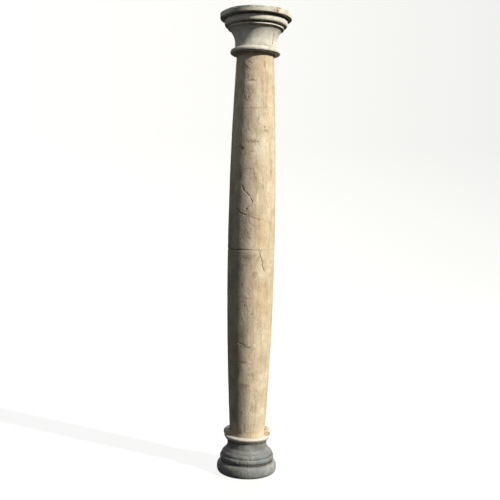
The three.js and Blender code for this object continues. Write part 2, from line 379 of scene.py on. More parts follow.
# Painted shade with black crusting under the mouldings and in deep recesses; both are thinner on the side
# turned from the sun
CRUST_AND_SHADE_ON_SHADE_SIDE = 0.12
CRUST_AND_SHADE_SHARE = 0.8

# Dirt and painted shade in hollows, the shade stronger on the side the sun falls on, dirt on open walls, moss
# on the shade side, and how fresh the stone of chips and spalls looks
HOLLOW_SHADE_AND_GRIME = 0.45
OPEN_GRIME = 0.22
FINE_DIRT = 0.3
SHADE_MOSS = 0.35
FRESHNESS = 0.5

# How each stone is worn: the depths of its waves, skin and edges, and the seeds of its wear and of its dirt,
# stains and painted shade
Wear = namedtuple("Wear", "wave skin edge seed dirt_seed")
BASE_WEAR = Wear(0.0010, 0.0006, 0.0030, 101, 501)
SHAFT_WEAR = Wear(0.0014, 0.0011, 0.0012, 201, 601)
CAPITAL_WEAR = Wear(0.0008, 0.0005, 0.0018, 401, 801)
RUNNEL_SHARE = 0.5
RUNNEL_STRETCH = 0.22
EDGE_WORN_LEAST = 0.25
EDGE_CHIPPED = 0.9

# Sizes of the lumps in the noise of wear, dirt and painted shade
WAVE_LUMP = 0.130
RUNNEL_LUMP = 0.024
SKIN_LUMP = 0.015
EDGE_LUMP = 0.045
EDGE_CHIP_LUMP = 0.016
STAIN_LUMP = 0.022
PATCHY_LUMP = 0.060
DIRT_LUMP = 0.014
MOSS_LUMP = 0.080

# Noise of single features, by the size of its lumps, its seed and its octaves
Lumps = namedtuple("Lumps", "size seed octaves", defaults=(4,))
CRACK_LUMPS = Lumps(0.030, 83, 2)
PIT_LUMPS = Lumps(0.006, 31)
SPALL_LUMPS = Lumps(0.020, 41)
SPALL_SKIN_LUMPS = Lumps(0.006, 47)
RING_LUMPS = Lumps(0.024, 61)
RING_END_LUMPS = Lumps(0.012, 69)
JOINT_LUMPS = Lumps(0.02, 71)
FRET_LUMPS = Lumps(0.012, 73)
COLLAR_LUMPS = Lumps(0.02, 109)

# How unevenly pits, spalls and stains are edged, and how rough a spall's ground and the collar's foot are
PIT_RAGGED = 0.35
SPALL_RAGGED = 0.6
STAIN_RAGGED = 0.35
SPALL_ROUGHNESS = 0.0006
COLLAR_UNEVEN = 0.006


class Outline:
    """The outline of a turned stone, drawn upwards from the edge of its underside."""

    def __init__(self, radius):
        self.points = [(radius, 0.0)]

    @property
    def height(self):
        return self.points[-1][1]

    def line(self, radius, rise=0.0):
        self.points.append((radius, self.height + rise))
        return self

    def under(self, radius, rise):
        """A quarter of an ellipse that leaves level and ends upright."""
        return self.curve(radius, rise, lambda share: (math.sin(share), 1 - math.cos(share)), math.pi / 2)

    def over(self, radius, rise):
        """A quarter of an ellipse that leaves upright and ends level."""
        return self.curve(radius, rise, lambda share: (1 - math.cos(share), math.sin(share)), math.pi / 2)

    def flare(self, radius, rise, bend):
        """A hollow sweep that leaves upright and flares by a power of the way up."""
        return self.curve(radius, rise, lambda share: (share**bend, share), 1)

    def curve(self, radius, rise, shares, whole):
        start_radius, start_height = self.points[-1]
        for step in range(1, ARC_STEPS + 1):
            across, up = shares(whole * step / ARC_STEPS)
            self.points.append((start_radius + (radius - start_radius) * across, start_height + rise * up))
        return self


def base_outline():
    outline = Outline(UNDERSIDE_RADIUS)
    outline.under(FOOT_RADIUS, FOOT_UNDER_CURVE).line(FOOT_RADIUS, FOOT_SIDE)
    outline.over(FOOT_SHOULDER_RADIUS, FOOT_TOP_CURVE).line(SCOTIA_RADIUS, FOOT_FILLET)
    outline.line(SCOTIA_RADIUS, SCOTIA_HEIGHT)
    outline.under(BAND_RADIUS, BAND_UNDER_CURVE).over(BAND_SHOULDER_RADIUS, BAND_TOP_CURVE)
    outline.line(INCISION_RADIUS).line(INCISION_RADIUS, INCISION_HEIGHT)
    outline.over(BELL_SHOULDER_RADIUS, BELL_SHOULDER_HEIGHT).line(BELL_SLOPE_RADIUS, BELL_SLOPE_HEIGHT)
    outline.under(BASE_NECK_RADIUS, BASE_NECK_CURVE).line(BASE_NECK_RADIUS, BASE_NECK_HEIGHT)
    outline.over(COLLAR_FLARE_RADIUS, COLLAR_FLARE_HEIGHT).line(COLLAR_SLOPE_RADIUS, COLLAR_SLOPE_HEIGHT)
    return outline.line(COLLAR_RADIUS, COLLAR_SIDE).over(COLLAR_BED_RADIUS, COLLAR_TOP_CURVE)


def capital_outline():
    outline = Outline(LIP_BED_RADIUS)
    outline.under(LIP_RADIUS, LIP_UNDER_CURVE).over(LIP_SHOULDER_RADIUS, LIP_TOP_CURVE)
    outline.under(CAPITAL_NECK_RADIUS, CAPITAL_NECK_CURVE).line(CAPITAL_NECK_RADIUS, CAPITAL_NECK_HEIGHT)
    outline.flare(BELL_TOP_RADIUS, BELL_HEIGHT, BELL_BEND).line(BEAD_RIM_RADIUS)
    outline.under(BEAD_RADIUS, BEAD_UNDER_CURVE).over(BEAD_RIM_RADIUS, BEAD_TOP_CURVE)
    outline.line(BEAD_RIM_RADIUS, QUIRK_HEIGHT).line(ECHINUS_FOOT_RADIUS, ECHINUS_FILLET)
    outline.under(ECHINUS_RADIUS, ECHINUS_CURVE).line(ECHINUS_RADIUS, ECHINUS_SIDE)
    outline.over(ECHINUS_SHOULDER_RADIUS, ECHINUS_SHOULDER_CURVE).line(ECHINUS_SHOULDER_RADIUS, RECESS_HEIGHT)
    outline.line(SOFFIT_RADIUS).under(ABACUS_RADIUS, ABACUS_UNDER_CURVE)
    return outline.line(ABACUS_RADIUS, ABACUS_SIDE).over(ABACUS_BED_RADIUS, ABACUS_TOP_CURVE)


def shaft_radius(end_radius, swelling, share):
    """The shaft is widest at its joint. This is its radius at a share of the way from there to an end."""
    return SHAFT_BELLY_RADIUS - (SHAFT_BELLY_RADIUS - end_radius) * share**swelling


def lower_drum_outline(height):
    outline = Outline(FOOT_RING_BED_RADIUS)
    outline.under(FOOT_RING_RADIUS, FOOT_RING_UNDER_CURVE).line(FOOT_RING_RADIUS, FOOT_RING_SIDE)
    outline.over(FOOT_RING_SHOULDER_RADIUS, FOOT_RING_TOP_CURVE)
    steps = round(height / DRUM_ROW)
    shaft = height - FOOT_RING_HEIGHT
    for step in range(steps + 1):
        share = shaft / height * (1 - step / steps)
        outline.line(shaft_radius(SHAFT_FOOT_RADIUS, LOWER_SWELLING, share), shaft / steps if step else 0)
    return outline


def upper_drum_outline(height):
    outline = Outline(SHAFT_BELLY_RADIUS)
    steps = round(height / DRUM_ROW)
    for step in range(1, steps + 1):
        outline.line(shaft_radius(SHAFT_TOP_RADIUS, UPPER_SWELLING, step / steps), height / steps)
    return outline


# The places of the stones, from their solids, and the outline of the whole column
boxes = {node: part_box(node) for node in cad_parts}
tall = {node: box[1].z - box[0].z for node, box in boxes.items()}
foot = {node: box[0].z for node, box in boxes.items()}
outlines = {
    "base": base_outline(),
    "lower_drum": lower_drum_outline(tall["lower_drum"]),
    "upper_drum": upper_drum_outline(tall["upper_drum"]),
    "capital": capital_outline(),
}
joined = np.concatenate([np.array(outline.points) + (0, foot[node]) for node, outline in outlines.items()])


def outline_radius(height):
    """The column's radius at a height, in front, where the foot ring is broken away."""
    above_bed = height - foot["lower_drum"]
    scarred = (above_bed >= 0) & (above_bed < FOOT_RING_HEIGHT)
    scar = np.where(scarred, SHAFT_FOOT_RADIUS + SCAR_PROUD, np.inf)
    return np.minimum(np.interp(height, joined[:, 1], joined[:, 0]), scar)


def noise(points, lump, seed):
    """Smooth noise from -1 to 1, with lumps of about this size. The large numbers only stir the bits."""
    cell = points / lump + seed * 17.31
    corner = np.floor(cell).astype(np.int64)
    share = cell - corner
    share = share * share * (3 - 2 * share)
    total = np.zeros(points.shape[:-1])
    for x, y, z in np.ndindex(2, 2, 2):
        key = (corner[..., 0] + x) * 73856093 ^ (corner[..., 1] + y) * 19349663
        key ^= (corner[..., 2] + z) * 83492791
        key = (key ^ (key >> 13)) * 1274126177 & 0xFFFFFFFF
        key = (key ^ (key >> 16)) * 2246822519 & 0xFFFFFFFF
        value = ((key ^ (key >> 15)) & 0xFFFF) / 0x7FFF - 1
        weight = np.abs(1 - x - share[..., 0]) * np.abs(1 - y - share[..., 1]) * np.abs(1 - z - share[..., 2])
        total += weight * value
    return total


def rough(points, lump, seed, octaves=4):
    """Layers of noise from -1 to 1, each half as large and half as strong as the last."""
    total = sum(noise(points, lump / 2**i, seed + i) / 2**i for i in range(octaves))
    return total / (2 - 0.5 ** (octaves - 1))


def smooth(low, high, value):
    """0 below low and 1 above high, with a smooth step between them."""
    share = np.clip((value - low) / (high - low), 0, 1)
    return share * share * (3 - 2 * share)


class Skin:
    """The surface of a stone: rows from the middle of its underside to that of its top, columns round it."""

    def __init__(self, outline, foot, turns, row, top_row=None):
        path = self.rows(np.array(outline.points), row, top_row)
        self.turn = np.radians(turns)[None, :]
        self.foot = foot
        shape = (len(path), len(turns))
        outward = self.outward_normals(path)
        self.side = self.side_rows(path)
        self.past_rim = self.bed_depths(path)
        hollows = [-self.sharpness(path, outward, reach) for reach in (HOLLOW_REACH, RECESS_REACH)]
        parts = (path[:, :1], path[:, 1:] + foot, *self.worn_ways(outward),
                 self.sharpness(path, outward, EDGE_REACH), np.maximum(*hollows))
        parts = (np.broadcast_to(part, shape).copy() for part in parts)
        self.radius, self.height, self.out_across, self.out_up, self.edge, self.hollow = parts
        self.rest = self.points()
        self.marks = {}

    def rows(self, points, row, top_row):
        """Points across both beds and, evenly spaced, along the outline, with its corners kept."""
        radius, height = points[0]
        shares = np.linspace(INNERMOST_SHARE, 1, BED_ROWS, endpoint=False)
        path = [(radius * share, height) for share in shares]
        lengths = np.hypot(*np.diff(points, axis=0).T)
        kept = [points[0]]
        for start, end, length in zip(points[:-1], points[1:], lengths):
            steps = max(1, round(length / row))
            kept += [start + (end - start) * step / steps for step in range(1, steps + 1)]
        path += self.thinned(kept, row)
        radius, height = points[-1]
        count = round(radius / top_row) if top_row else BED_ROWS
        shares = np.linspace(INNERMOST_SHARE, 1, count, endpoint=False)[::-1]
        self.top_count = count
        path += [(radius * share, height) for share in shares]
        return np.array(path)

    def thinned(self, points, row):
        """Leaves out points of fine curves that lie much closer than a row to the last one."""
        kept = [points[0]]
        for point in points[1:-1]:
            if np.hypot(*(point - kept[-1])) > row * CLOSEST_SHARE:
                kept.append(point)
        return kept + [points[-1]]

    def side_rows(self, path):
        """1 for the rows of the outline, 0 for those across hidden beds, and between for a bed that shows."""
        side = np.ones((len(path), 1))
        side[:BED_ROWS + 1] = 0
        top = len(path) - self.top_count
        side[top:] = OPEN_BED_WEAR if self.top_count > BED_ROWS else 0
        return side

    def bed_depths(self, path):
        """How far each row of a bed lies in from its rim, up for the top bed and down for the underside."""
        depths = np.zeros((len(path), 1))
        depths[:BED_ROWS, 0] = path[:BED_ROWS, 0] - path[BED_ROWS, 0]
        top = len(path) - self.top_count
        depths[top:, 0] = path[top - 1, 0] - path[top:, 0]
        return depths

    def worn_ways(self, outward):
        """How far across and up wear moves each point. The rim of an upright side only moves inwards."""
        across, up = (outward * self.side).T
        first, last = BED_ROWS, len(outward) - self.top_count - 1
        for rim, beside in ((first, first + 1), (last, last - 1)):
            if outward[beside, 0] > UPRIGHT:
                across[rim], up[rim] = 1, 0
        return across[:, None], up[:, None]

    def outward_normals(self, path):
        along = np.gradient(path, axis=0)
        normals = np.column_stack([along[:, 1], -along[:, 0]])
        return normals / np.maximum(np.hypot(*normals.T), TINY)[:, None]

    def sharpness(self, path, outward, reach):
        """How far each point stands out of the mean of its neighbours within reach, up to about 1."""
        distance = np.concatenate([[0], np.cumsum(np.hypot(*np.diff(path, axis=0).T))])
        before, after = (np.column_stack([np.interp(distance + way, distance, part) for part in path.T])
                         for way in (-reach, reach))
        return (((path - (before + after) / 2) * outward).sum(1) * 2 / reach)[:, None]

    def points(self):
        across = np.sin(self.turn) * self.radius
        along = -np.cos(self.turn) * self.radius
        return np.stack([across, along, self.height], axis=-1)

    def sink(self, depth):
        """Moves the surface into the stone by this depth. The beds of the stone stay level."""
        self.radius = np.maximum(self.radius - depth * self.out_across, 0)
        self.height = self.height - depth * self.out_up

    def bite(self, loss, radius, height):
        """Takes a stretched ball out of an edge, with a broken surface."""
        tangent = wrapped(self.turn - math.radians(loss.turn)) * radius / (loss.width / 2)
        upright = (self.height - height) / (loss.rise / 2)
        ragged = 1 + BITE_RAGGED * rough(self.rest, BITE_LUMP, loss.seed)
        inside = ragged - tangent**2 - upright**2
        floor = radius - loss.depth * np.sqrt(np.clip(inside, 0, None))
        floor -= BITE_ROUGHNESS * rough(self.rest, BITE_SKIN_LUMP, loss.seed + 5)
        taken = (inside > 0) & (self.radius > floor)
        self.radius = np.where(taken, floor, self.radius)
        self.mark("fresh", taken * smooth(0, 0.3, inside))

    def mark(self, name, amount):
        """Adds to a named map of the surface, from 0 to 1, that the materials read."""
        amount = np.broadcast_to(amount, self.radius.shape)
        self.marks[name] = np.maximum(self.marks.get(name, 0), np.clip(amount, 0, 1))

    def away(self, turn, height):
        """How far each point is from one on the surface: along the surface to the right, and up."""
        return wrapped(self.turn - turn) * self.radius, self.height - height + self.past_rim

    def mesh(self, name):
        rows, columns = self.radius.shape
        low = (0, 0, self.height[0].mean())
        high = (0, 0, self.height[-1].mean())
        vertices = np.concatenate([self.points().reshape(-1, 3), [low, high]])
        row, column = np.mgrid[: rows - 1, :columns]
        following = (column + 1) % columns
        quads = np.stack([row * columns + column, row * columns + following,
                          (row + 1) * columns + following, (row + 1) * columns + column], axis=-1)
        ring = np.arange(columns)
        beyond = (ring + 1) % columns
        foot_fan = np.stack([np.full(columns, rows * columns), beyond, ring], axis=-1)
        top = (rows - 1) * columns
        top_fan = np.stack([np.full(columns, rows * columns + 1), top + ring, top + beyond], axis=-1)
        data = bpy.data.meshes.new(name)
        faces = quads.reshape(-1, 4).tolist() + foot_fan.tolist() + top_fan.tolist()
        data.from_pydata(vertices.tolist(), [], faces)
        data.polygons.foreach_set("use_smooth", np.ones(len(faces), bool))
        for mark, amount in self.marks.items():
            values = np.concatenate([amount.ravel(), [amount[0].mean(), amount[-1].mean()]])
            data.attributes.new(mark, "FLOAT", "POINT").data.foreach_set("value", values.astype(np.float32))
        data.update()
        return data


def wrapped(angle):
    """The same angle between minus and plus half a turn."""
    return (angle + math.pi) % (2 * math.pi) - math.pi


def camera_turn():
    level = Euler((math.radians(90 - PITCH_DOWN), 0, 0)).to_matrix()
    return level @ Matrix.Rotation(math.radians(ROLL), 3, "Z")


def seen_at(pixels):
    """Turns and heights of the places on the column that the photograph shows at these pixels."""
    pixels = np.array(pixels, float).reshape(-1, 2)
    middle = PICTURE_SIZE / 2
    ahead = np.full(len(pixels), -float(FOCAL_LENGTH))
    rays = np.column_stack([pixels[:, 0] - middle, middle - pixels[:, 1], ahead])
    rays = rays @ np.array(camera_turn()).T
    rays /= rays[:, 1:2]
    reach = np.linspace(RAY_NEAR, RAY_FAR, RAY_STEPS) - EYE[1]
    points = np.array(EYE) + rays[:, None, :] * reach[None, :, None]
    clear = np.hypot(points[..., 0], points[..., 1]) - outline_radius(points[..., 2])
    first = np.where((clear < 0).any(1), (clear < 0).argmax(1), clear.argmin(1))
    found = points[np.arange(len(pixels)), first]
    return np.arctan2(found[:, 0], -found[:, 1]), found[:, 2]


def carve_cracks(skin, cracks):
    """Cuts the cracks, and marks how near the nearest one is to each point, and on which side."""
    nearest = np.full(skin.radius.shape, np.inf)
    side = np.zeros(skin.radius.shape)
    depth = np.zeros(skin.radius.shape)
    strength = np.zeros(skin.radius.shape)
    for crack in cracks:
        turns, heights = seen_at(crack.points) if isinstance(crack.points, list) else crack.points
        if heights.max() < skin.height.min() or heights.min() > skin.height.max():
            continue
        for index in range(len(turns) - 1):
            start_x, start_y = skin.away(turns[index], heights[index])
            end_x, end_y = skin.away(turns[index + 1], heights[index + 1])
            way_x, way_y = start_x - end_x, start_y - end_y
            length = np.maximum(way_x**2 + way_y**2, TINY)
            share = np.clip((start_x * way_x + start_y * way_y) / length, 0, 1)
            off_x, off_y = start_x - share * way_x, start_y - share * way_y
            widths_off = np.hypot(off_x, off_y) / crack.width
            depth = np.maximum(depth, crack.depth * np.exp(-(widths_off**2)))
            sign = np.sign(way_x * off_y - way_y * off_x)
            closer = widths_off < nearest
            side = np.where(closer, sign * widths_off, side)
            strength = np.where(closer, min(crack.depth / DARK_CRACK_DEPTH, 1), strength)
            nearest = np.where(closer, widths_off, nearest)
    cut = broken_up(skin) * (np.abs(skin.out_across) > CRACKED_WALL)
    skin.sink(depth * cut)
    skin.marks["crack_side"] = np.clip(side, -CRACK_MARK_MOST, CRACK_MARK_MOST)
    skin.marks["crack_near"] = (1 - smooth(*CRACK_FADE, nearest)) * strength * cut


def broken_up(skin):
    """Makes a crack come and go along its way."""
    return smooth(-0.75, 0.05, rough(skin.rest, *CRACK_LUMPS))


def hairlines(skin, count, seed):
    """Fine cracks that wander mostly upright over the sides and the back of a drum, as turns and heights."""
    chance = np.random.default_rng(seed)
    low, high = skin.height.min(), skin.height.max()
    found = []
    for _ in range(count):
        steps = chance.integers(*HAIRLINE_STEPS)
        start = chance.uniform(*HAIRLINE_TURNS)
        heights = chance.uniform(low, high) + np.cumsum(chance.uniform(*HAIRLINE_RISES, steps))
        turns = np.radians(start) + np.cumsum(chance.normal(0, HAIRLINE_WANDER, steps))
        width = chance.uniform(*HAIRLINE_WIDTHS)
        found.append(Crack(width, chance.uniform(*HAIRLINE_DEPTHS), (turns, heights)))
    return found


def ruffled():
    """The short shallow strokes of the ruffled places, as cracks."""
    chance = np.random.default_rng(RUFFLE_SEED)
    strokes = []
    for place in RUFFLES:
        for _ in range(place.strokes):
            across = chance.uniform(place.left, place.right)
            down = chance.uniform(place.top, place.bottom)
            fall = chance.uniform(*RUFFLE_FALLS)
            ends = [(across, down), (across + fall / place.fall, down + fall)]
            width = chance.uniform(*RUFFLE_WIDTHS)
            strokes.append(Crack(width, chance.uniform(*RUFFLE_DEPTHS), ends))
    return strokes


def dent(skin, spot):
    """How far each point lies inside a round or oval spot: 1 in its middle, 0 at its edge, less outside."""
    turn, height = seen_at([(spot.across, spot.down)])
    right, up = skin.away(turn[0], height[0])
    return 1 - (right / (spot.wide * PIXEL / 2)) ** 2 - (up / (spot.high * PIXEL / 2)) ** 2


def carve_pits(skin):
    ragged = PIT_RAGGED * rough(skin.rest, *PIT_LUMPS)
    for pit in PITS:
        inside = dent(skin, pit) + ragged
        skin.sink(pit.amount * np.sqrt(np.clip(inside, 0, None)))
        skin.mark("hole", smooth(0, 0.5, inside))


def carve_spalls(skin):
    ragged = SPALL_RAGGED * rough(skin.rest, *SPALL_LUMPS)
    ground = SPALL_ROUGHNESS * rough(skin.rest, *SPALL_SKIN_LUMPS)
    for spall in SPALLS:
        loose = smooth(0, 0.25, dent(skin, spall) + ragged)
        skin.sink(loose * (spall.amount + ground))
        skin.mark("fresh", FRESHNESS * loose)


def stain(skin, name, stains, seed):
    """Marks spots with ragged edges: stains, and spots of painted shade and of painted light."""
    ragged = STAIN_RAGGED * rough(skin.rest, STAIN_LUMP, seed)
    for spot in stains:
        near = np.exp((dent(skin, spot) - 1) * (0.5 / STAIN_REACH) ** 2)
        skin.mark(name, spot.amount * smooth(0.25, 0.85, near + ragged) * (near > 0.02))


def weather(skin, wear):
    """Wears the whole stone: long waves, upright runnels and a rough skin, all into the stone."""
    tall = skin.rest * np.array([1, 1, RUNNEL_STRETCH])
    waves = wear.wave * (1 + rough(skin.rest, WAVE_LUMP, wear.seed, 2)) / 2
    runnels = wear.wave * RUNNEL_SHARE * (1 + rough(tall, RUNNEL_LUMP, wear.seed + 7, 3)) / 2
    skin.sink(waves + runnels + wear.skin * (1 + rough(skin.rest, SKIN_LUMP, wear.seed + 13, 3)) / 2)


def wear_edges(skin, wear):
    """Rounds and frets every sharp edge of the outline."""
    uneven = smooth(-0.5, 0.6, rough(skin.rest, EDGE_LUMP, wear.seed + 2))
    chips = smooth(0.25, 0.5, rough(skin.rest, EDGE_CHIP_LUMP, wear.seed + 5))
    worn = EDGE_WORN_LEAST + (1 - EDGE_WORN_LEAST) * uneven + EDGE_CHIPPED * chips
    skin.sink(wear.edge * np.clip(skin.edge, 0, 1) * worn)
    skin.mark("fresh", FRESHNESS * chips * smooth(0.15, 0.5, skin.edge))


def under_ledges(skin):
    """1 where the surface looks down, on the sides of a stone only, and 0 where it looks out or up."""
    return smooth(-0.40, -0.90, skin.out_up)


def soil_and_shade(skin, seed):
    """Marks dirt and painted shade: painted shade with black crusting under ledges and in deep recesses, dirt
    and painted shade in the hollows of the outline, patchy dirt all over, painted shade over the side turned
    from the sun, and moss on that side.
    """
    patchy = rough(skin.rest, PATCHY_LUMP, seed)
    fine = rough(skin.rest, DIRT_LUMP, seed + 4)
    hollow = np.clip(skin.hollow, 0, 1)
    sunny = smooth(-0.9, 0.1, np.sin(skin.turn))
    crust_and_shade_by_side = CRUST_AND_SHADE_ON_SHADE_SIDE + (1 - CRUST_AND_SHADE_ON_SHADE_SIDE) * sunny
    # Painted shade with black crusting: under ledges and in deep recesses, stronger on the side the sun falls
    # on
    sheltered = np.maximum(under_ledges(skin), smooth(0.80, 1.05, hollow))
    skin.mark("crust_and_shade", (CRUST_AND_SHADE_SHARE + FINE_DIRT * fine) * crust_and_shade_by_side * sheltered)
    # Dirt and painted shade in the hollows, the shade stronger on the side the sun falls on; patchy dirt on
    # open walls
    dirt_and_shade_in_hollows = hollow * (HOLLOW_SHADE_AND_GRIME * (1 + sunny) + FINE_DIRT * fine)
    skin.mark("grime", dirt_and_shade_in_hollows + OPEN_GRIME * smooth(0.1, 0.7, patchy + 0.4 * fine))
    # Painted shade: the side turned from the sun is greyed, more so lower down, under the mark named film
    shade_side = smooth(0.1, 1.0, -np.sin(skin.turn - math.radians(SHADE_TURN)))
    low_down = smooth(PAINTED_SHADE_TOP, PAINTED_SHADE_FOOT, skin.height)
    skin.mark("film", shade_side * low_down * PAINTED_SHADE_SHARE * (1 + patchy / 2))
    mossy = smooth(0.15, 0.6, rough(skin.rest, MOSS_LUMP, seed + 9))
    skin.mark("moss", SHADE_MOSS * shade_side * mossy)


def even_turns(columns):
    return np.arange(columns) * 360 / columns


def drum_turns():
    """Turns of a drum's columns: close together across the front, and wider apart behind."""
    front = np.linspace(-FRONT_HALF_WIDTH, FRONT_HALF_WIDTH, DRUM_FRONT_COLUMNS, endpoint=False)
    back = np.linspace(FRONT_HALF_WIDTH, 360 - FRONT_HALF_WIDTH, DRUM_BACK_COLUMNS, endpoint=False)
    return np.concatenate([front, back])


def break_ring(skin):
    """Takes the foot ring off across the front, so that the shaft runs on down to its bed."""
    up = skin.rest[:, :1, 2] - skin.foot
    turns = np.degrees(wrapped(skin.turn)) + RING_END_RAGGED * rough(skin.rest, *RING_LUMPS)
    left = smooth(RING_BREAK_FROM, RING_BREAK_FROM - RING_END_SLOPE, turns)
    whole = np.maximum(left, smooth(RING_BREAK_TO, RING_BREAK_TO + RING_END_SLOPE, turns))
    felt = up < FOOT_RING_HEIGHT + HOLLOW_REACH
    skin.edge *= np.where(felt, whole, 1)
    skin.hollow *= np.where(felt, whole, 1)

    rows = np.arange(BED_ROWS, np.flatnonzero(up[:, 0] < FOOT_RING_HEIGHT + TINY)[-1] + 1)
    whole = whole[rows]
    share = ((rows - rows[0]) / (rows[-1] - rows[0]))[:, None]
    scar = SHAFT_FOOT_RADIUS + SCAR_PROUD * smooth(1, 0, share)
    ends = RING_END_ROUGHNESS * rough(skin.rest[rows], *RING_END_LUMPS) * (whole > 0) * (whole < 1)
    skin.radius[rows] = scar + (skin.radius[rows] - scar) * whole + ends
    skin.height[rows] = skin.foot + FOOT_RING_HEIGHT * share * (1 - whole) + up[rows] * whole
    skin.out_across[rows] = skin.out_across[rows] * whole + 1 - whole
    skin.out_up[rows] *= whole
    skin.rest = skin.points()


def open_joint(skin, height):
    """Frets the edge at the joint between the drums: much on the left of the front, little on the right."""
    left = smooth(0.04, -0.08, wrapped(skin.turn) + 0.05 * rough(skin.rest, *JOINT_LUMPS))
    near = 1 - smooth(0, JOINT_EDGE, np.abs(skin.height - height))
    patches = smooth(0.1, 0.6, rough(skin.rest, *FRET_LUMPS))
    fret = JOINT_FRET_LEAST + JOINT_FRET_LEFT * left + JOINT_FRET_PATCHES * patches
    skin.sink(near * fret * np.abs(skin.out_across))
    skin.mark("grime", near * JOINT_GRIME * left)


class Graph:
    """Short ways to build the nodes of a material or of the sky."""

    def __init__(self, owner, place="Object"):
        owner.use_nodes = True
        self.owner = owner
        self.tree = owner.node_tree
        self.tree.nodes.clear()
        self.place = self.node("ShaderNodeTexCoord").outputs[place]

    def node(self, kind, settings=None, **sockets):
        made = self.tree.nodes.new(kind)
        for name, value in (settings or {}).items():
            setattr(made, name, value)
        for name, value in sockets.items():
            self.feed(made.inputs[name.replace("_", " ")], value)
        return made

    def feed(self, socket, value):
        if isinstance(value, bpy.types.NodeSocket):
            self.tree.links.new(value, socket)
        else:
            socket.default_value = value

    def noise(self, pattern):
        place = self.place
        if pattern.upright != 1:
            stretched = self.node("ShaderNodeMapping", Vector=place, Scale=(1, 1, pattern.upright))
            place = stretched.outputs["Vector"]
        made = self.node("ShaderNodeTexNoise", Vector=place, Scale=1 / pattern.lump, Detail=pattern.detail,
                         Roughness=pattern.roughness, Distortion=pattern.distortion)
        return made.outputs["Fac"]

    def mark(self, name):
        made = self.node("ShaderNodeAttribute", {"attribute_type": "GEOMETRY", "attribute_name": name})
        return made.outputs["Fac"]

    def between(self, low, high, value, to_low=0.0, to_high=1.0):
        """A smooth step of a value from low to high."""
        made = self.node("ShaderNodeMapRange", {"interpolation_type": "SMOOTHSTEP"}, Value=value,
                         From_Min=low, From_Max=high, To_Min=to_low, To_Max=to_high)
        return made.outputs["Result"]

    def maths(self, operation, first, second=None):
        made = self.node("ShaderNodeMath", {"operation": operation})
        self.feed(made.inputs[0], first)
        if second is not None:
            self.feed(made.inputs[1], second)
        return made.outputs["Value"]

    def times(self, first, second):
        return self.maths("MULTIPLY", first, second)

    def total(self, *parts):
        """The sum of several values, each times its share."""
        whole = self.times(*parts[0])
        for value, share in parts[1:]:
            whole = self.maths("ADD", whole, self.times(value, share))
        return whole

    def surfaced(self, shader, output="ShaderNodeOutputMaterial"):
        """The finished material or sky, with this shader on its surface."""
        self.node(output, Surface=shader.outputs[0])
        return self.owner

    def lay(self, colour, amount):
        """Lays a colour over the graph's colour by an amount."""
        made = self.node("ShaderNodeMix", {"data_type": "RGBA"})
        self.feed(made.inputs["Factor"], amount)
        self.feed(made.inputs[6], self.colour)
        self.feed(made.inputs[7], colour)
        self.colour = made.outputs[2]

    def ramp(self, value, stops):
        made = self.node("ShaderNodeValToRGB", Fac=value)
        elements = made.color_ramp.elements
        while len(elements) < len(stops):
            elements.new(0.5)
        for element, (position, colour) in zip(elements, stops):
            element.position = position
            element.color = colour
        return made.outputs["Color"]


def linear(part):
    """The screen's curve, from a share of the full signal to a share of the full light."""
    return part / 12.92 if part < 0.0404 else ((part + 0.055) / 1.055) ** 2.4


def paint(red, green, blue):
    """A colour of a screen, from 0 to 255, as the linear colour that the shader needs."""
    return (*(linear(part / 255) for part in (red, green, blue)), 1.0)


Marble = namedtuple("Marble", "dark middle light vein streak grime film")
SHAFT_MARBLE = Marble(paint(183, 166, 136), paint(202, 186, 156), paint(216, 202, 174),
                      paint(156, 137, 109), paint(158, 141, 112), paint(74, 64, 48), 0.5)
CAPITAL_MARBLE = Marble(paint(196, 191, 177), paint(218, 213, 198), paint(232, 228, 216),
                        paint(172, 166, 155), paint(180, 177, 160), paint(58, 55, 44), 0.22)
BASE_MARBLE = Marble(paint(106, 108, 104), paint(133, 135, 130), paint(158, 159, 152),
                     paint(94, 95, 92), paint(102, 103, 95), paint(44, 42, 35), 0.6)
PAINTED_SHADE_COLOUR = paint(112, 108, 100)
MOSS_COLOUR = paint(92, 98, 52)
BROWN_COLOUR = paint(134, 96, 56)
WARM_COLOUR = paint(214, 168, 118)
PALE_AND_LIGHT_COLOUR = paint(236, 228, 208)
RUBBED_COLOUR = paint(216, 208, 196)
BLUISH_COLOUR = paint(110, 122, 132)
FRESH_COLOUR = paint(214, 200, 172)
CRACK_COLOUR = paint(40, 32, 24)
HOLE_COLOUR = paint(62, 50, 36)
CRUST_AND_SHADE_COLOUR = paint(46, 43, 36)

# Patterns in the marble, by the size of their lumps. With upright under 1 they are drawn out upright.
Pattern = namedtuple("Pattern", "lump detail roughness distortion upright", defaults=(0.55, 0, 1))
CLOUDS = Pattern(0.110, 6, distortion=0.6)
VEINS = Pattern(0.180, 7, 0.6, distortion=1.2)
RUNS = Pattern(0.028, 5, 0.6, upright=0.10)
PATCHES = Pattern(0.034, 7, 0.68)
GRAIN = Pattern(0.0045, 3, 0.7)
THREADS = Pattern(0.011, 4, 0.65, upright=0.14)
SPECKS = Pattern(0.0085, 2, 0.5)
FRETTING = Pattern(0.009, 6, 0.7)
PINHOLE_PATCHES = Pattern(0.060, 3)
CRACK_WANDER = Pattern(0.004, 3)
PINHOLE_GAP = 0.015
VEIN_WIDTH = 0.014
BUMP_DEPTH = 0.0035

# What the marks of the skin lay over the marble, in this order, and how much of it at most
# The film mark is painted shade on the side turned from the sun; the mark of whitish stains also paints light
# thrown back into the shade
CLEAN_LAYERS = (("warm", WARM_COLOUR, 0.35), ("pale_and_light", PALE_AND_LIGHT_COLOUR, 0.55), ("bluish", BLUISH_COLOUR, 0.75),
                ("fresh", FRESH_COLOUR, 0.35), ("film", PAINTED_SHADE_COLOUR, 0.62), ("rubbed", RUBBED_COLOUR, 0.85))


